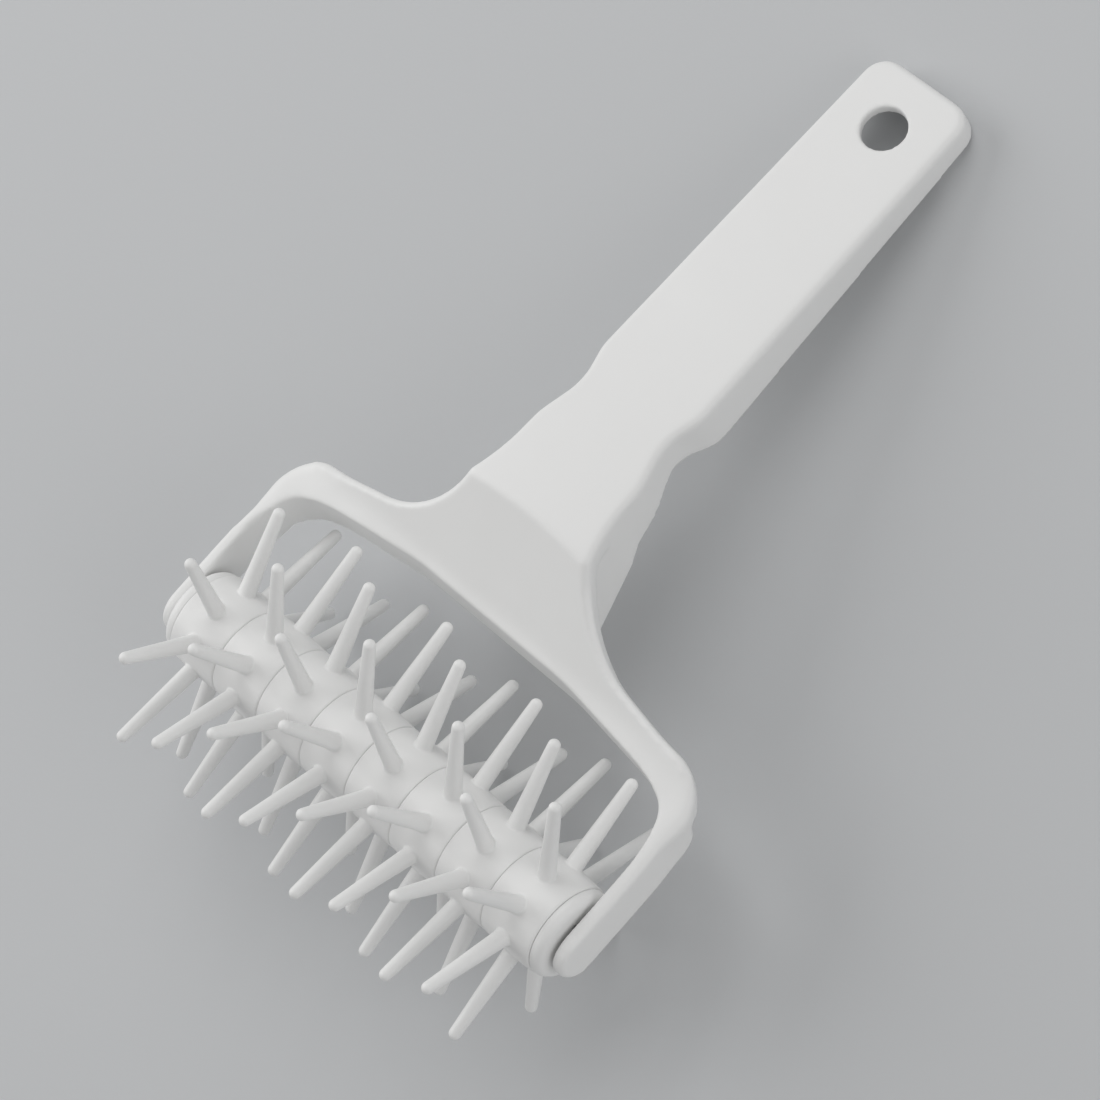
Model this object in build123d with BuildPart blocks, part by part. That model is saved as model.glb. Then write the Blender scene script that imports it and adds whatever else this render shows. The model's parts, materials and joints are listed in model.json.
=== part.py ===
from build123d import *
from math import asin, atan2, cos, degrees, hypot, radians, sin, tan
import os

os.makedirs("parts", exist_ok=True)

# A dough docker lying on a table: X runs along the roller's axle, +Y towards the grip's end and +Z up.
# The spike tips and the grip's end touch the table at Z = 0, under which the origin is at the middle.
# The frame is drawn in its own plane, with the axle as origin, and that plane dips towards the grip's end.

# Roller, in millimetres
disc_pitch = 14.0
disc_count = 8
spike_count = 8
drum_radius = 11.0
drum_wall = 2.4
drum_flats = 8
seam_gap = 0.10
web_thickness = 2.4
hub_wall = 1.6
spike_flats = 8
spike_reach = 32.8
spike_root_radius = 2.0
spike_tip_radius = 1.3
spike_tip_length = 0.8
spike_tip_half = 0.65

# Spindle and end caps
spindle_side = 7.0
spindle_bevel = 0.5
spindle_tilt = 21.5
key_clearance = 0.15
journal_radius = 2.5
journal_clearance = 0.08
cap_radius = 10.5
cap_thickness = 2.9
cap_skirt = 3.0
cap_skirt_wall = 1.2
cap_skirt_clearance = 0.15

# Arms
arm_clearance = 0.9
arm_thickness = 3.1
arm_depth = 12.8
arm_foot = 7.7
arm_head = 32.4
arm_lift = 0.5
arm_dip = 2.8
arm_bevel = 0.9
socket_depth = 1.9
end_float = 0.3

# Crossbar, with places along the grip measured from the window's edge
spike_clearance = 4.5
arm_root = -17.3
arm_root_top = 6.0
window_edge_top = 5.2
window_flat_half = 22.0
window_corner_radius = 9.0
window_flat_radius = 60.0
window_draft = 6.0
window_wall = 2.0
crossbar_inner_slope = 0.118
crossbar_outer_slope = 0.184
crossbar_corner_radius = 13.0
crossbar_bevel = 1.6
crossbar_core_half = 50.0
flange_depth = 6.2

# Grip
grip_reach = 143.9
grip_end_half = 13.4
grip_corner_radius = 5.3
grip_edge_radius = 1.6
core_wall = 2.8
scallop_far = 58.7
scallop_far_half = 14.7
scallop_far_radius = 12.0
scallop_deep = 50.7
scallop_deep_half = 12.3
scallop_deep_radius = 14.0
scallop_near = 40.2
scallop_near_half = 15.2
scallop_near_radius = 14.0
neck_start = 30.7
neck_half = 15.5
neck_radius = 40.0
neck_wall_half = 16.2
flare_corner = 9.8
flare_corner_half = 20.8
flare_radius = 25.0
ramp_foot_radius = 14.0
brow = 22.5
brow_height = 24.4
brow_radius = 2.5
brow_lead = 4.0
end_height = 13.4
crown_radius = 130.0

# Lower rim of the frame, from the arms' roots to the grip's end
rim_root_height = -5.5
rim_foot = 11.0
rim_neck = 32.7
rim_neck_height = 6.8
rim_arch = 48.7
rim_arch_height = 13.0
rim_mid = 74.7
rim_mid_height = 7.0
rim_end_height = 6.0
rim_radius = 2.5
rib_thickness = 1.8
rib_lift = 4.0
rib_place_share = (0.30, 0.52, 0.74)
top_face_share = 0.5
hang_hole_radius = 5.1
hang_hole_inset = 13.2

# The docker lies on its spike tips and on the end of the grip's rim.
window_edge = spike_reach + spike_clearance
grip_end = window_edge + grip_reach
dip = asin(spike_reach / hypot(grip_end, rim_end_height)) + atan2(rim_end_height, grip_end)
grip_span = grip_end * cos(dip) + end_height * sin(dip)
axle_place = (spike_reach - grip_span) / 2
axle_height = spike_reach
axle = (0, axle_place, axle_height)
tool = Plane(origin=axle, x_dir=(1, 0, 0), z_dir=(0, sin(dip), cos(dip)))
tool_up = Axis(axle, tool.z_dir)
deck = Plane(origin=tool.from_local_coords((0, window_edge, 0)), x_dir=tool.x_dir, z_dir=tool.z_dir)

# One disc moulding serves both rows: its key is turned a quarter of the spike pitch from the spikes,
# so a disc turned end for end stands half a pitch round from its neighbours.
spike_pitch = 360 / spike_count
key_turn = spike_pitch / 4
spindle_turn = spindle_tilt - degrees(dip)
disc_play_share = (0, 0.33, -0.43, -0.08, -0.33, 0.70, -0.57, 0.40)
key_play = degrees(2 * key_clearance / spindle_side)

stack_half = disc_count * disc_pitch / 2
cap_face = stack_half + cap_thickness
arm_inner = cap_face + arm_clearance
arm_outer = arm_inner + arm_thickness
skirt_radius = drum_radius - drum_wall - cap_skirt_clearance


def across(x, turn, facing=1):
    """Plane square to the axle at x, with its own X turned from +Y towards +Z, facing +X or -X."""
    x_dir = (0, cos(radians(turn)), sin(radians(turn)))
    return Plane(origin=(x, axle_place, axle_height), x_dir=x_dir, z_dir=(facing, 0, 0))


def side(x, lean=0):
    """Side view of the frame at x, with its own X leaning down from the grip by the given angle."""
    x_dir = (0, cos(dip + radians(lean)), -sin(dip + radians(lean)))
    return Plane(origin=(x, axle_place, axle_height), x_dir=x_dir, z_dir=(1, 0, 0))


deck_side = Plane(origin=deck.from_local_coords((-arm_outer, 0, 0)), x_dir=tool.y_dir, z_dir=(1, 0, 0))


# Frame: yoke and grip are one moulding, open underneath.
# The window is the gap that the roller turns in, between the arms and the crossbar.
window_corner = -crossbar_inner_slope * (arm_inner - window_flat_half)
with BuildSketch(deck) as window:
    with BuildLine():
        FilletPolyline(
            (0, 2 * arm_root),
            (arm_inner, 2 * arm_root),
            (arm_inner, window_corner),
            (window_flat_half, 0),
            (0, 0),
            radius=(0, window_corner_radius, window_flat_radius),
        )
        mirror(about=Plane.YZ)
    make_face()

crossbar_corner = flare_corner - crossbar_outer_slope * (arm_outer - flare_corner_half)
with BuildSketch(deck) as plan:
    with BuildLine():
        FilletPolyline(
            (0, grip_reach),
            (grip_end_half, grip_reach),
            (scallop_far_half, scallop_far),
            (scallop_deep_half, scallop_deep),
            (scallop_near_half, scallop_near),
            (neck_half, neck_start),
            (flare_corner_half, flare_corner),
            (arm_outer, crossbar_corner),
            (arm_outer, arm_root),
            (0, arm_root),
            radius=(
                grip_corner_radius,
                scallop_far_radius,
                scallop_deep_radius,
                scallop_near_radius,
                neck_radius,
                flare_radius,
                crossbar_corner_radius,
                0,
            ),
        )
        mirror(about=Plane.YZ)
    make_face()

# From the side, the top runs level with the arms to the window's edge and climbs the ramp past the brow,
# where the crown cuts it off. The lower rim climbs under the ramp and arches at the scallops.
ramp_rise = (brow_height - window_edge_top) / brow
ramp_top = brow_height + ramp_rise * brow_lead
top_line = (
    (arm_root, arm_root_top),
    (0, window_edge_top),
    (brow + brow_lead, ramp_top),
    (grip_reach, ramp_top),
)
rim_line = (
    (grip_reach, rim_end_height),
    (rim_mid, rim_mid_height),
    (scallop_far, rim_mid_height),
    (rim_arch, rim_arch_height),
    (rim_neck, rim_neck_height),
    (rim_foot, rim_root_height),
    (arm_root, rim_root_height),
)
with BuildSketch(deck_side) as profile:
    with BuildLine():
        FilletPolyline(top_line, radius=(ramp_foot_radius, 0))
        Line(top_line[-1], rim_line[0])
        FilletPolyline(rim_line, radius=rim_radius)
        Line(rim_line[-1], top_line[0])
    make_face()

# The grip's top falls gently from the brow to the end and is crowned across, like part of a large cylinder.
crown_fall = (brow_height - end_height) / (grip_reach - brow)
crown_start = deck.from_local_coords((0, 0, brow_height + crown_fall * brow))
crown_along = tool.y_dir - tool.z_dir * crown_fall
crown_plane = Plane(origin=crown_start, x_dir=tool.x_dir, z_dir=crown_along)


def crown(drop):
    """Round bar whose top is the grip's crowned top, lowered by drop."""
    with BuildPart() as bar:
        with BuildSketch(crown_plane.offset(-2 * window_edge)):
            with Locations((0, crown_radius)):
                Circle(crown_radius - drop)
        extrude(amount=2 * grip_end)
    return bar.part


def body(start, stop):
    """Stretch of the frame along the grip, bevelled up to the brow and rounded beyond it."""
    height = ramp_top - rim_root_height
    with BuildPart() as stretch:
        with BuildSketch(deck.offset(rim_root_height)):
            add(plan.sketch_local)
        extrude(amount=height)
        extrude(profile.sketch, amount=2 * arm_outer, mode=Mode.INTERSECT)
        with BuildSketch(deck.offset(rim_root_height)):
            with Locations((-arm_outer, (start + stop) / 2)):
                Rectangle(2 * arm_outer, stop - start)
        extrude(amount=height, mode=Mode.INTERSECT)
        add(crown(0), mode=Mode.INTERSECT)
        if stop > brow:
            fillet(edges().sort_by(tool_up)[-1], brow_radius)
        top_faces = faces().filter_by(lambda face: face.normal_at().dot(tool.z_dir) > top_face_share)
        rim_edges = top_faces.edges().filter_by(outer_rim)
        if stop > brow:
            fillet(rim_edges, grip_edge_radius)
        else:
            chamfer(rim_edges, crossbar_bevel)
        mirror(about=Plane.YZ)
    return stretch


def outer_rim(edge):
    """Whether a top edge of the left half runs along its outline, and not across it."""
    ends = [deck.to_local_coords(vertex.center()) for vertex in edge.vertices()]
    across_grip = abs(ends[0].Y - ends[1].Y) < core_wall
    at_end = abs(ends[0].Y - grip_reach) < core_wall
    return (at_end or not across_grip) and abs(edge.center().X) > core_wall


yoke = body(arm_root, brow - brow_lead)
grip = body(brow - brow_lead, grip_reach)

# The neck's walls run on down under the ramp, and outside them the crossbar and its flares are a flange
# with one deep wall, along the window.
with BuildPart() as flange_underside:
    with BuildSketch(deck_side):
        with BuildLine():
            Polyline(
                (arm_root, arm_root_top - flange_depth),
                (0, window_edge_top - flange_depth),
                (brow, brow_height - flange_depth),
                (neck_start, brow_height - flange_depth),
                (neck_start, -brow_height),
                (arm_root, -brow_height),
                close=True,
            )
        make_face()
    extrude(amount=arm_outer - neck_wall_half)
    mirror(about=Plane.YZ)
    with BuildSketch(deck.offset(-brow_height)):
        offset(window.sketch_local, amount=window_wall)
    extrude(amount=2 * brow_height, mode=Mode.SUBTRACT)

# The core is the hollow under the grip and the crossbar, one wall inside them.
with BuildSketch(deck.offset(rim_root_height)) as core_plan:
    add(plan.sketch_local)
    offset(amount=-core_wall, mode=Mode.REPLACE)
    offset(window.sketch_local, amount=core_wall, mode=Mode.SUBTRACT)
    Rectangle(2 * crossbar_core_half, 2 * grip_end, mode=Mode.INTERSECT)
    with GridLocations(2 * neck_wall_half - core_wall, 0, 2, 1):
        Rectangle(core_wall, 2 * neck_start, mode=Mode.SUBTRACT)

with BuildSketch(deck_side) as core_profile:
    with BuildLine():
        FilletPolyline(top_line, radius=(ramp_foot_radius, 0))
        Polyline(top_line[-1], (grip_reach, -brow_height), (arm_root, -brow_height), top_line[0])
    make_face()
    offset(amount=-core_wall, mode=Mode.REPLACE)

# Cross ribs tie the grip's two sides together inside the hollow.
with BuildPart() as core:
    extrude(core_plan.sketch, amount=ramp_top - rim_root_height)
    extrude(core_profile.sketch, amount=2 * arm_outer, mode=Mode.INTERSECT)
    add(crown(core_wall), mode=Mode.INTERSECT)
    with BuildSketch(deck.offset(rim_mid_height + rib_lift)):
        for share in rib_place_share:
            with Locations((0, brow + share * (grip_reach - brow))):
                Rectangle(2 * grip_end_half, rib_thickness)
    extrude(amount=brow_height, mode=Mode.SUBTRACT)

# Each arm is a plate with round ends, and its inner face has a blind socket for the spindle's journal.
with BuildPart() as arm:
    with BuildSketch(side(arm_inner, arm_dip)):
        with Locations(((arm_head - arm_foot) / 2, arm_lift)):
            SlotOverall(arm_head + arm_foot, arm_depth)
    extrude(amount=arm_thickness)
    chamfer(faces().sort_by(Axis.X)[-1].edges(), arm_bevel)
    with BuildSketch(side(arm_inner)):
        Circle(journal_radius + journal_clearance)
    extrude(amount=socket_depth, mode=Mode.SUBTRACT)

# The window's long wall leans towards the roller on its way down.
window_up = tool.z_dir + tool.y_dir * tan(radians(window_draft))
window_base = Plane(origin=deck.origin + window_up * rim_root_height, x_dir=tool.x_dir, z_dir=tool.z_dir)

# The hanging hole goes through the top wall near the grip's end, square to its falling top.
hang_hole_place = crown_start + crown_along * (grip_reach - hang_hole_inset)
hang_hole_up = tool.z_dir + tool.y_dir * crown_fall
hang_hole_top = Plane(origin=hang_hole_place, x_dir=tool.x_dir, z_dir=hang_hole_up)

with BuildPart() as frame:
    add(yoke.part)
    add(grip.part)
    with BuildSketch(window_base):
        add(window.sketch_local)
    extrude(amount=ramp_top - rim_root_height, dir=window_up, mode=Mode.SUBTRACT)
    add(core.part, mode=Mode.SUBTRACT)
    add(flange_underside.part, mode=Mode.SUBTRACT)
    add(arm.part)
    add(mirror(arm.part, about=Plane.YZ, mode=Mode.PRIVATE))
    with BuildSketch(hang_hole_top.offset(core_wall)):
        Circle(hang_hole_radius)
    extrude(amount=-3 * core_wall, mode=Mode.SUBTRACT)
frame.part.label = "frame"
export_step(frame.part, "parts/frame.step")

# Spindle: a square bar whose round ends turn in the arms' sockets.
journal_end = arm_inner + socket_depth - end_float
turned = across(0, spindle_turn)
with BuildPart() as spindle:
    with BuildSketch(turned.offset(-cap_face)):
        RectangleRounded(spindle_side, spindle_side, spindle_bevel)
    extrude(amount=2 * cap_face)
    with BuildSketch(turned.offset(-journal_end)):
        Circle(journal_radius)
    extrude(amount=2 * journal_end)
spindle.part.label = "spindle"
export_step(spindle.part, "parts/spindle.step")

# Spike: a tapered peg with flats all round and a bevelled tip, drawn along X from inside the drum's wall.
spike_foot = drum_radius - drum_wall / 2
tip_start = spike_reach - spike_tip_length
upper_side = ((spike_foot, spike_root_radius), (tip_start, spike_tip_radius), (spike_reach, spike_tip_half))
lower_side = tuple((place, -half) for place, half in reversed(upper_side))
with BuildPart() as spike:
    for flat in range(spike_flats // 2):
        with BuildSketch(Plane.XY.rotated((flat * 360 / spike_flats, 0, 0)).offset(-spike_root_radius)):
            with BuildLine():
                Polyline(upper_side, lower_side, close=True)
            make_face()
        extrude(amount=2 * spike_root_radius, mode=Mode.INTERSECT if flat else Mode.ADD)


def spiked_disc(name, plane):
    """Disc on the given mid plane, cored from both faces, with its key square to the plane's X."""
    width = disc_pitch - seam_gap
    core_depth = (width - web_thickness) / 2
    key_side = spindle_side + 2 * key_clearance
    with BuildPart() as disc:
        with BuildSketch(plane.offset(-width / 2)):
            Circle(drum_radius)
        extrude(amount=width)
        for face_offset in (-width / 2, width / 2 - core_depth):
            with BuildSketch(plane.offset(face_offset)):
                RegularPolygon(drum_radius - drum_wall, drum_flats, major_radius=False)
                Rectangle(key_side + 2 * hub_wall, key_side + 2 * hub_wall, mode=Mode.SUBTRACT)
            extrude(amount=core_depth, mode=Mode.SUBTRACT)
        with Locations(plane):
            with PolarLocations(0, spike_count, start_angle=key_turn):
                add(spike.part)
        with BuildSketch(plane.offset(-width / 2)):
            Rectangle(key_side, key_side)
        extrude(amount=width, mode=Mode.SUBTRACT)
    disc.part.label = name
    export_step(disc.part, f"parts/{name}.step")


for index in range(disc_count):
    place = (index + 1 / 2) * disc_pitch - stack_half
    turn = spindle_turn + disc_play_share[index] * key_play
    facing = 1 if index % 2 == 0 else -1
    spiked_disc(f"spiked_disc_{index + 1}", across(place, turn, facing))


def end_cap(name, plane):
    """Cap with a skirt that seats in the last disc's core, on its own plane with Z out of the roller."""
    with BuildPart() as cap:
        with BuildSketch(plane):
            Circle(cap_radius)
        extrude(amount=cap_thickness - seam_gap)
        with BuildSketch(plane):
            RegularPolygon(skirt_radius, drum_flats, major_radius=False)
            skirt_core = skirt_radius - cap_skirt_wall
            RegularPolygon(skirt_core, drum_flats, major_radius=False, mode=Mode.SUBTRACT)
        extrude(amount=-cap_skirt)
        with BuildSketch(plane):
            Rectangle(spindle_side + 2 * key_clearance, spindle_side + 2 * key_clearance)
        extrude(amount=cap_thickness, mode=Mode.SUBTRACT)
    cap.part.label = name
    export_step(cap.part, f"parts/{name}.step")


cap_seat = stack_half + seam_gap / 2
end_cap("end_cap_left", across(-cap_seat, spindle_turn, -1))
end_cap("end_cap_right", across(cap_seat, spindle_turn))
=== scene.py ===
# A dough docker of white moulded plastic, lying on a pale table top.
# It rests on its spike tips and on the end of its grip, which dips towards the table.
import json
from math import cos, degrees, exp, hypot, pi, radians, sin, sqrt

import bmesh
import bpy
from mathutils import Matrix, Vector
from mathutils.kdtree import KDTree


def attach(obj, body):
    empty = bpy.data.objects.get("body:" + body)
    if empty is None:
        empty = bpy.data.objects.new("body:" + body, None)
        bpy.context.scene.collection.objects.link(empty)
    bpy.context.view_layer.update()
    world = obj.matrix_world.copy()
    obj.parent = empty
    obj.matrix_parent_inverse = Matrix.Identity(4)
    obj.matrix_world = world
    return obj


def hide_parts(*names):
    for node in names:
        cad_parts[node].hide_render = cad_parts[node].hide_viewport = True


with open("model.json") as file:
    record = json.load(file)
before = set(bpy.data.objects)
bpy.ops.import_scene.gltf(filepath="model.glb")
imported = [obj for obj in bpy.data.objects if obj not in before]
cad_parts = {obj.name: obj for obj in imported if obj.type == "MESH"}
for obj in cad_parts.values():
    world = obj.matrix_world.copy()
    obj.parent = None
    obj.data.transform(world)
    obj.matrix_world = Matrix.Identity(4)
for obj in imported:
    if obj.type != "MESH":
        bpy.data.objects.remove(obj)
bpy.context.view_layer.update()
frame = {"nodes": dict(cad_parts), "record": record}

# Lengths are in metres and angles in degrees, where nothing else is said.
axle = Vector(frame["record"]["behaviour"]["joints"][0]["pos_m"])
dip_angle = 12.3197
grip_dip = radians(dip_angle)
grip_along = Vector((0, cos(grip_dip), -sin(grip_dip)))
grip_up = Vector((0, sin(grip_dip), cos(grip_dip)))


# Camera. A long lens looks down on the docker from beyond its right arm,
# and is turned so that the grip points up and to the right.
scene = bpy.context.scene
camera_data = bpy.data.cameras.new("camera")
camera_data.lens = 140.944
camera_data.sensor_width = 36.0
camera_data.clip_start = 0.05
camera_data.clip_end = 20.0
camera = bpy.data.objects.new("camera", camera_data)
camera.location = (0.420584, 0.121618, 0.801970)
camera.rotation_euler = (radians(10.3187), radians(28.0282), radians(39.3439))
scene.collection.objects.link(camera)
scene.camera = camera
scene.view_settings.view_transform = "Standard"


# Shading. Each material is built from procedural textures in the object's own coordinates.
class Socket:
    """An output of a shader node, on which Python's own operators add Math nodes."""

    def __init__(self, tree, output):
        self.tree = tree
        self.output = output

    def node(self, kind, settings=None, out=0, **values):
        """A new node. A value named _2 goes to input 2, any other to the input of that name."""
        made = self.tree.nodes.new("ShaderNode" + kind)
        for name, value in (settings or {}).items():
            setattr(made, name, value)
        for name, value in values.items():
            name = int(name[1:]) if name[0] == "_" else name.replace("_", " ")
            if isinstance(value, Socket):
                self.tree.links.new(value.output, made.inputs[name])
            else:
                made.inputs[name].default_value = value
        return Socket(self.tree, made.outputs[out])

    def math(self, operation, first, second):
        return self.node("Math", {"operation": operation}, _0=first, _1=second)

    def __add__(self, other):
        return self.math("ADD", self, other)

    def __radd__(self, other):
        return self.math("ADD", other, self)

    def __rmul__(self, other):
        return self.math("MULTIPLY", other, self)


def new_material(name):
    """A node material, its shader, and the object's coordinates as a socket."""
    material = bpy.data.materials.new(name)
    material.use_nodes = True
    tree = material.node_tree
    shader = tree.nodes["Principled BSDF"]
    place = Socket(tree, tree.nodes.new("ShaderNodeTexCoord").outputs["Object"])
    return material, shader, place


def wire(source, shader, name):
    """Joins a socket to one of the shader's inputs."""
    source.tree.links.new(source.output, shader.inputs[name])


def wire_tone(share, dark, light, shader):
    """A colour that drifts between two near tones, as the share goes from 0 to 1."""
    settings = {"data_type": "RGBA"}
    tone = share.node("Mix", settings, out=2, _0=share, _6=(*dark, 1), _7=(*light, 1))
    wire(tone, shader, "Base Color")


def wire_bump(height, strength, distance, shader):
    """A fine unevenness of the surface."""
    bump = height.node("Bump", Strength=strength, Distance=distance, Height=height)
    wire(bump, shader, "Normal")


# Table top. A wide pale sheet of matt laminate under the spikes and the end of the grip.
# Its colour drifts a little from place to place, and its surface is very slightly pebbled.
def table_material():
    material, shader, place = new_material("table_laminate")
    cloud = place.node("TexNoise", Vector=place, Scale=2.2, Detail=3.0)
    pebble = place.node("TexNoise", Vector=place, Scale=900.0, Detail=2.0)
    wire_tone(cloud, (0.565, 0.575, 0.585), (0.595, 0.605, 0.615), shader)
    wire(0.62 + 0.06 * cloud, shader, "Roughness")
    wire_bump(pebble, 0.04, 0.0004, shader)
    shader.inputs["Specular IOR Level"].default_value = 0.25
    return material


bm = bmesh.new()
bmesh.ops.create_grid(bm, x_segments=1, y_segments=1, size=3.0)
table_mesh = bpy.data.meshes.new("table")
bm.to_mesh(table_mesh)
bm.free()
table = bpy.data.objects.new("table", table_mesh)
table_mesh.materials.append(table_material())
scene.collection.objects.link(table)


# Studio light. Three square soft boxes aim at the docker, one from behind the grip's end
# and one from each side, and a pale room lights the rest.
def soft_box(name, place, size, power):
    light = bpy.data.lights.new(name, "AREA")
    light.shape = "SQUARE"
    light.size = size
    light.energy = power
    lamp = bpy.data.objects.new(name, light)
    lamp.location = place
    lamp.rotation_euler = (-Vector(place)).to_track_quat("-Z", "Y").to_euler()
    scene.collection.objects.link(lamp)


soft_box("key_box", (-0.4, 1.0, 1.2), 1.0, 5.9)
soft_box("left_box", (-1.3, -0.3, 0.8), 1.2, 10.0)
soft_box("right_box", (1.4, 0.3, 0.7), 1.2, 5.6)
world = bpy.data.worlds.new("room")
world.use_nodes = True
room = world.node_tree.nodes["Background"]
room.inputs["Color"].default_value = (0.9, 0.9, 0.9, 1)
room.inputs["Strength"].default_value = 0.42
scene.world = world


# White plastic. Every moulding is of the same white polypropylene, satin from the mould,
# with a faint milky drift in its colour and a fine, soft unevenness in its gloss.
def plastic(name):
    material, shader, place = new_material(name)
    cloud = place.node("TexNoise", Vector=place, Scale=38.0, Detail=4.0, Roughness=0.55)
    flow = place.node("TexNoise", Vector=place, Scale=140.0, Detail=3.0)
    grain = place.node("TexNoise", Vector=place, Scale=2600.0, Detail=2.0)
    wire_tone(cloud, (0.84, 0.84, 0.832), (0.88, 0.88, 0.873), shader)
    wire(0.36 + 0.12 * cloud + 0.05 * flow, shader, "Roughness")
    wire_bump(0.7 * flow + 0.3 * grain, 0.05, 0.0002, shader)
    shader.inputs["IOR"].default_value = 1.49
    shader.inputs["Specular IOR Level"].default_value = 0.45
    return material


# Shapes that the roller's pieces share, and the finish of every piece.
hair = 1e-5  # keeps the faces of shapes that meet from lying in one another
same_place = 1e-7  # vertices nearer than this are one


def turned(bm, profile, steps, closed=True):
    """Spins a profile of (place along X, radius) round X, and returns the new vertices."""
    before = set(bm.verts)
    ring = [bm.verts.new((along, 0.0, radius)) for along, radius in profile]
    followers = ring[1:] + ring[:1] if closed else ring[1:]
    edges = [bm.edges.new(pair) for pair in zip(ring, followers)]
    turn = {"cent": (0, 0, 0), "axis": (1, 0, 0), "angle": 2 * pi, "steps": steps}
    bmesh.ops.spin(bm, geom=ring + edges, use_merge=True, **turn)
    made = [vert for vert in bm.verts if vert not in before]
    bmesh.ops.remove_doubles(bm, verts=made, dist=same_place)
    return [vert for vert in bm.verts if vert not in before]


def rotate(bm, verts, angle, axis):
    """Turns vertices about an axis of the mesh, by an angle in radians."""
    bmesh.ops.rotate(bm, verts=verts, cent=(0, 0, 0), matrix=Matrix.Rotation(angle, 3, axis))


def quarter(centre, radius, start, steps=4):
    """Points of a quarter circle round (along, radius), from an angle, turning clockwise."""
    angles = [radians(start - 90 * step / steps) for step in range(steps + 1)]
    return [(centre[0] + radius * cos(angle), centre[1] + radius * sin(angle)) for angle in angles]


def block(start, stop, bore, radius):
    """The profile of a plain ring: its two ends along X, and its radii."""
    return [(start, bore), (start, radius), (stop, radius), (stop, bore)]


def square_tube(bm, start, stop, outer, inner):
    """A square tube along X with its sides square to Y and Z."""
    made = turned(bm, block(start, stop, inner / sqrt(2), outer / sqrt(2)), 4)
    rotate(bm, made, pi / 4, "X")


def finish_piece(bm, name, material, body, *nodes, smooth_angle=40):
    """Makes a mesh object of a bmesh, smooth but for its sharp edges, riding on its body."""
    bmesh.ops.recalc_face_normals(bm, faces=bm.faces)
    for face in bm.faces:
        face.smooth = True
    for edge in bm.edges:
        if len(edge.link_faces) == 2:
            edge.smooth = edge.calc_face_angle(0.0) < radians(smooth_angle)
    mesh = bpy.data.meshes.new(name)
    bm.to_mesh(mesh)
    bm.free()
    mesh.materials.append(material)
    piece = bpy.data.objects.new(name, mesh)
    scene.collection.objects.link(piece)
    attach(piece, body)
    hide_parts(*nodes)
    return piece


# Spiked discs. Eight drums of the same moulding on the spindle, every second one turned
# end for end. Each is faintly barrelled, hollow from both faces round a square hub,
# and carries eight tapered spikes with round tips and a small fillet at the root.
roller_plastic = plastic("roller_plastic")
disc_pitch, disc_length, disc_count = 0.014, 0.01397, 8
half_stack = disc_count / 2 * disc_pitch
drum_radius, drum_crown, drum_wall, drum_edge = 0.01106, 0.00022, 0.0024, 0.00045
drum_steps, crown_steps = 96, 12
web_thickness, web_sink, web_steps = 0.0024, 0.0002, 48
hub_side, key_side = 0.0105, 0.0073
key_corner = key_side / sqrt(2) + hair
spike_count, spike_tip, spike_base = 8, 0.0328, 0.0098
spike_base_radius, spike_tip_radius, spike_fillet = 0.0020, 0.0013, 0.00042
fillet_reach = 1.1 * spike_fillet
spike_rings, spike_steps, fillet_steps, dome_steps = (0.016, 0.022, 0.027), 28, 4, 6
spike_angle = 360 / spike_count
first_spike = spike_angle / 4
turn_from_grip = 21.5
roller_turn = turn_from_grip - dip_angle
key_gap_mm, bar_side_mm = 0.15, 7.0
play_limit = degrees(2 * key_gap_mm / bar_side_mm)
disc_play = (0, 0.33, -0.43, -0.08, -0.33, 0.70, -0.57, 0.40)


def moulded_drum(bm):
    """The drum's wall with rounded rims and a slight crown, its web and its square hub."""
    half = disc_length / 2
    rim = drum_radius - drum_crown
    crown = []
    for step in range(1, crown_steps):
        share = 2 * step / crown_steps - 1
        crown.append((share * (half - drum_edge), drum_radius - drum_crown * share**2))
    outside = quarter((-half + drum_edge, rim - drum_edge), drum_edge, 180)
    outside += crown + quarter((half - drum_edge, rim - drum_edge), drum_edge, 90)
    bore = drum_radius - drum_wall
    turned(bm, [(-half, bore)] + outside + [(half, bore)], drum_steps)
    web = web_thickness / 2
    turned(bm, block(-web, web, key_corner, bore + web_sink), web_steps)
    square_tube(bm, -half + 2 * hair, half - 2 * hair, hub_side, key_side)


def spike_width(height):
    """The tapered spike's radius at a height from the axle."""
    taper = (spike_base_radius - spike_tip_radius) / (spike_tip - spike_base)
    return spike_base_radius - taper * (height - spike_base)


def round_spike(bm, angle):
    """A tapered peg along Z with a domed tip and a fillet that follows the drum, turned about X."""
    profile = [(spike_base, 0.0)]
    for height in (spike_base, drum_radius):
        profile.append((height, spike_width(height) + spike_fillet))
    for step in range(1, fillet_steps + 1):
        turn = radians(90 * step / fillet_steps)
        height = drum_radius + spike_fillet * (1 - cos(turn))
        profile.append((height, spike_width(height) + spike_fillet * (1 - sin(turn))))
    profile += [(height, spike_width(height)) for height in spike_rings]
    dome = spike_tip - spike_tip_radius
    for step in range(dome_steps + 1):
        turn = radians(90 * step / dome_steps)
        profile.append((dome + spike_tip_radius * sin(turn), spike_width(dome) * cos(turn)))
    made = turned(bm, profile, spike_steps, closed=False)
    # The fillet sinks with the drum's curve and with its crown, and a hair more.
    for vert in made:
        if drum_radius - hair < vert.co.x < drum_radius + fillet_reach:
            share = 2 * vert.co.z / (disc_length - 2 * drum_edge)
            round_sag = drum_radius - sqrt(drum_radius**2 - vert.co.y**2)
            vert.co.x -= round_sag + drum_crown * share**2 + hair
    rotate(bm, made, -pi / 2, "Y")
    rotate(bm, made, angle, "X")


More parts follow.
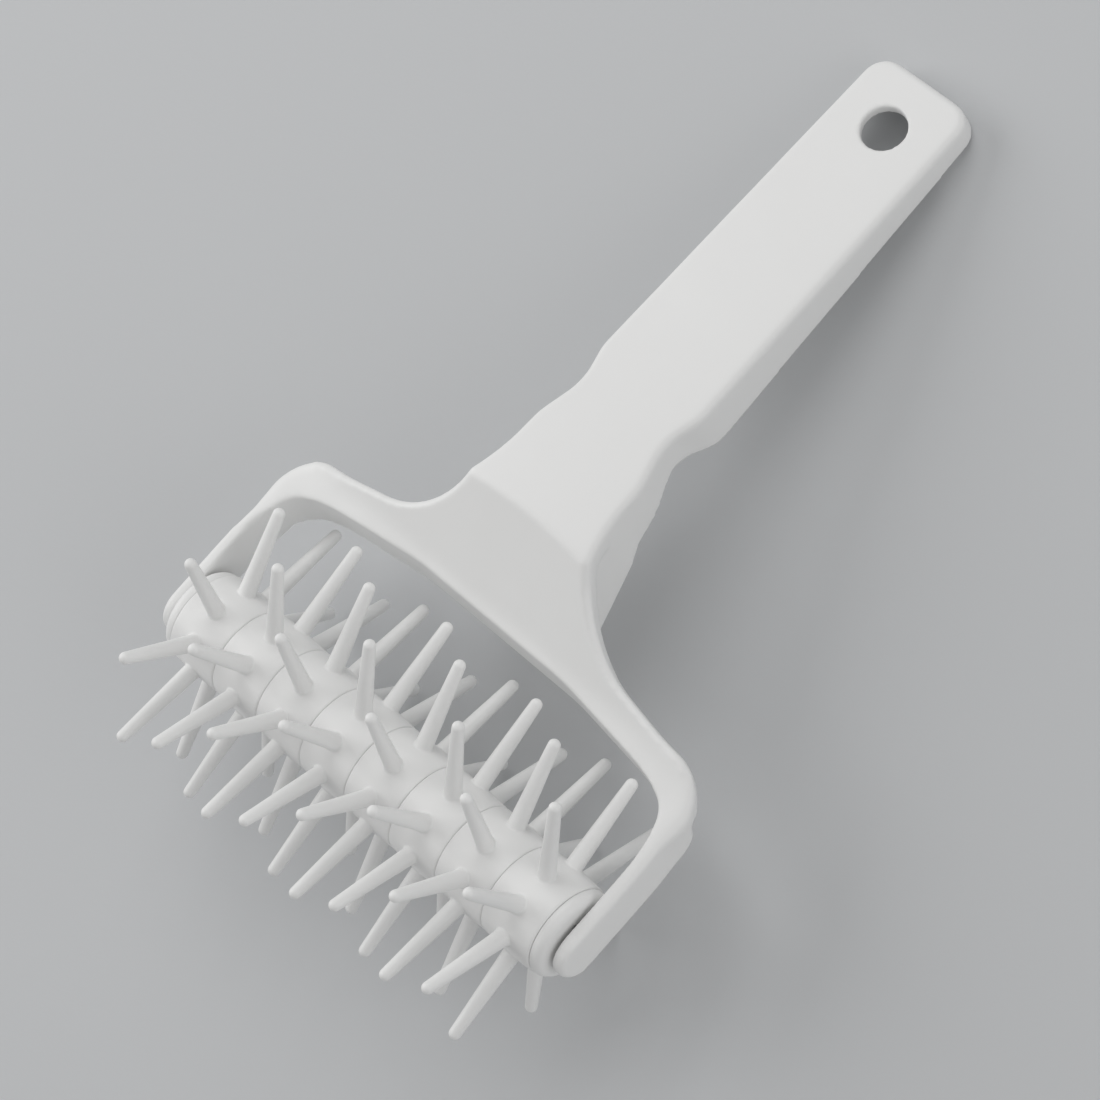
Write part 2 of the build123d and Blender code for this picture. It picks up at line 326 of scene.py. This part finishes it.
# The key is turned a quarter of the spikes' angle, so that discs turned end for end stand half
# an angle apart. Each disc has its own small play on the bar, as the photograph shows it.
for index in range(disc_count):
    bm = bmesh.new()
    moulded_drum(bm)
    facing = 1 if index % 2 == 0 else -1
    for spike in range(spike_count):
        from_y = facing * (first_spike + spike_angle * spike)
        round_spike(bm, radians(from_y - 90))
    turn = Matrix.Rotation(radians(roller_turn + disc_play[index] * play_limit), 4, "X")
    along_axle = (index + 0.5) * disc_pitch - half_stack
    place = Matrix.Translation(axle + Vector((along_axle, 0, 0)))
    bmesh.ops.transform(bm, matrix=place @ turn, verts=bm.verts)
    number = index + 1
    disc = finish_piece(bm, f"roller_disc_{number}", roller_plastic, "roller", f"spiked_disc_{number}")


# End caps. A plain round button closes each end of the stack, with a well rounded rim,
# a square hole for the spindle and a short skirt that plugs into the last disc.
cap_radius, cap_length, cap_gap = 0.0105, 0.0028, 0.00005
cap_rim, cap_rim_steps, cap_lip, cap_steps = 0.0019, 8, 0.0003, 96
skirt_radius, skirt_bore, skirt_length = 0.00845, 0.00725, 0.003
skirt_sink, skirt_steps = 0.0002, 64
for name, facing in (("left", -1), ("right", 1)):
    bm = bmesh.new()
    start = half_stack + cap_gap
    stop = start + cap_length
    outside = quarter((start + cap_lip, cap_radius - cap_lip), cap_lip, 180)
    outside += quarter((stop - cap_rim, cap_radius - cap_rim), cap_rim, 90, steps=cap_rim_steps)
    turned(bm, [(start, key_corner)] + outside + [(stop, key_corner)], cap_steps)
    skirt = block(start - skirt_length, start + skirt_sink, skirt_bore, skirt_radius)
    turned(bm, skirt, skirt_steps)
    square_tube(bm, start + 2 * hair, stop - 2 * hair, hub_side, key_side)
    rotate(bm, bm.verts, radians(roller_turn), "X")
    if facing < 0:
        bmesh.ops.scale(bm, verts=bm.verts, vec=(-1, 1, 1))
    bmesh.ops.translate(bm, verts=bm.verts, vec=axle)
    cap = finish_piece(bm, f"roller_cap_{name}", roller_plastic, "roller", f"end_cap_{name}")


# Spindle. A drawn square bar of bright steel with turned journals, in the CAD's own mesh.
# The discs, caps and arms hide it but for a short length of journal beside each cap,
# so it only has its material made here, with fine lines drawn along the bar.
def bar_steel():
    material, shader, place = new_material("bar_steel")
    stretched = place.node("Mapping", Vector=place, Scale=(60.0, 2400.0, 2400.0))
    draw = place.node("TexNoise", Vector=stretched, Scale=1.0, Detail=3.0)
    wire_tone(draw, (0.52, 0.53, 0.54), (0.64, 0.65, 0.66), shader)
    wire(0.26 + 0.16 * draw, shader, "Roughness")
    wire_bump(draw, 0.15, 0.00005, shader)
    shader.inputs["Metallic"].default_value = 1.0
    return material


spindle_materials = frame["nodes"]["spindle"].data.materials
spindle_materials.clear()
spindle_materials.append(bar_steel())


# Yoke and grip. One moulding in the same white plastic, open underneath: two arms, the
# crossbar's flange, the ramp and the grip with its finger scallops. It is a fine skin over
# the CAD frame's surface, with the window's corners filled, the shoulders lifted, the lower
# rim's bends eased, and every edge softened, the crossbar's chamfered rim most of all.
frame_plastic = plastic("frame_plastic")
merge_reach, flat_angle = 2e-6, 0.05
skin_grid, skin_share = 0.0004, 0.36
chamfer_angles, arm_root = (38, 52), 0.0215
edge_passes, rim_passes, rim_reach = 6, 26, 0.0022

# Places are (from the middle, from the axle along the grip), on both sides of the yoke.
corner_outward = (0.72, 0.69)
window_corner, corner_reach, corner_fill = (0.0572, 0.0302), 0.0075, 0.0020
shoulder, shoulder_reach, shoulder_lift = (0.0591, 0.0355), 0.0125, 0.0011
shoulder_width, shoulder_height = 0.0045, 0.005

# Bends of the lower rim: place along the grip, height from the axle, easing up the wall, reach.
rim_bends = (
    (0.0860, 0.0130, -0.0007, 0.0046),
    (0.0960, 0.0070, 0.0004, 0.0040),
    (0.0700, 0.0068, 0.0003, 0.0040),
)
bend_band, bend_fade = 0.003, 0.0025


def clamped(value):
    return min(1.0, max(0.0, value))


def settled(bm, kind, **settings):
    """The mesh as one modifier leaves it."""
    mesh = bpy.data.meshes.new("skin")
    bm.to_mesh(mesh)
    bm.free()
    carrier = bpy.data.objects.new("skin", mesh)
    scene.collection.objects.link(carrier)
    modifier = carrier.modifiers.new("skin", kind)
    for name, value in settings.items():
        setattr(modifier, name, value)
    shaped = carrier.evaluated_get(bpy.context.evaluated_depsgraph_get())
    bm = bmesh.new()
    bm.from_mesh(shaped.to_mesh())
    bpy.data.objects.remove(carrier)
    bpy.data.meshes.remove(mesh)
    return bm


def chamfer_points(bm):
    """Points at most a grid's width apart, on the convex edges of the chamfered rim beyond the arms."""
    least, most = (radians(angle) for angle in chamfer_angles)
    points = []
    for edge in bm.edges:
        start, span = edge.verts[0].co, edge.verts[1].co - edge.verts[0].co
        beyond_arms = (start - axle).dot(grip_along) > arm_root
        if beyond_arms and edge.is_convex and least < edge.calc_face_angle(0.0) < most:
            steps = int(span.length / skin_grid) + 1
            points += [start + span * (step / steps) for step in range(steps + 1)]
    return points


def near(across, along, place, reach):
    """A share that is 1 at a place of the yoke's plan and fades with the distance from it."""
    gap = hypot(across - place[0], along - place[1]) / reach
    return exp(-gap * gap)


def reshape(vert):
    """Fills the window's corner, lifts the shoulder and eases the lower rim's bends."""
    from_axle = vert.co - axle
    across, along, up = abs(from_axle.x), from_axle.dot(grip_along), from_axle.dot(grip_up)
    side = 1 if vert.co.x > 0 else -1
    outward = Vector((side * corner_outward[0], 0, 0)) + corner_outward[1] * grip_along
    beyond_corner = (across - window_corner[0], along - window_corner[1])
    depth = beyond_corner[0] * corner_outward[0] + beyond_corner[1] * corner_outward[1]
    outer_share = clamped(depth / shoulder_width)
    fill = corner_fill * near(across, along, window_corner, corner_reach)
    vert.co -= outward * (fill * (1 - outer_share))
    lift = shoulder_lift * near(across, along, shoulder, shoulder_reach)
    vert.co += outward * (lift * outer_share * clamped(up / shoulder_height))
    for bend_along, bend_up, easing, reach in rim_bends:
        beside = max(0.0, 1 - ((along - bend_along) / reach) ** 2)
        share = beside * clamped((bend_up + bend_band - up) / bend_fade)
        vert.co += grip_up * (easing * share * share)


def soften(bm, verts, passes):
    """Moves each vertex towards the middle of its neighbours, again and again."""
    every_axis = {"use_axis_x": True, "use_axis_y": True, "use_axis_z": True}
    for _ in range(passes):
        bmesh.ops.smooth_vert(bm, verts=verts, factor=0.5, **every_axis)


bm = bmesh.new()
bm.from_mesh(frame["nodes"]["frame"].data)
bmesh.ops.remove_doubles(bm, verts=bm.verts, dist=merge_reach)
bmesh.ops.dissolve_limit(bm, angle_limit=radians(flat_angle), verts=bm.verts, edges=bm.edges)
rim_points = chamfer_points(bm)
rim_tree = KDTree(len(rim_points))
for index, point in enumerate(rim_points):
    rim_tree.insert(point, index)
rim_tree.balance()
bmesh.ops.triangulate(bm, faces=bm.faces)
bm = settled(bm, "REMESH", mode="VOXEL", voxel_size=skin_grid)
for vert in bm.verts:
    reshape(vert)
rim_verts = [vert for vert in bm.verts if rim_tree.find(vert.co)[2] < rim_reach]
soften(bm, rim_verts, rim_passes)
soften(bm, bm.verts, edge_passes)
bm = settled(bm, "DECIMATE", decimate_type="COLLAPSE", ratio=skin_share)
yoke = finish_piece(bm, "yoke_and_grip", frame_plastic, "frame", "frame", smooth_angle=60)
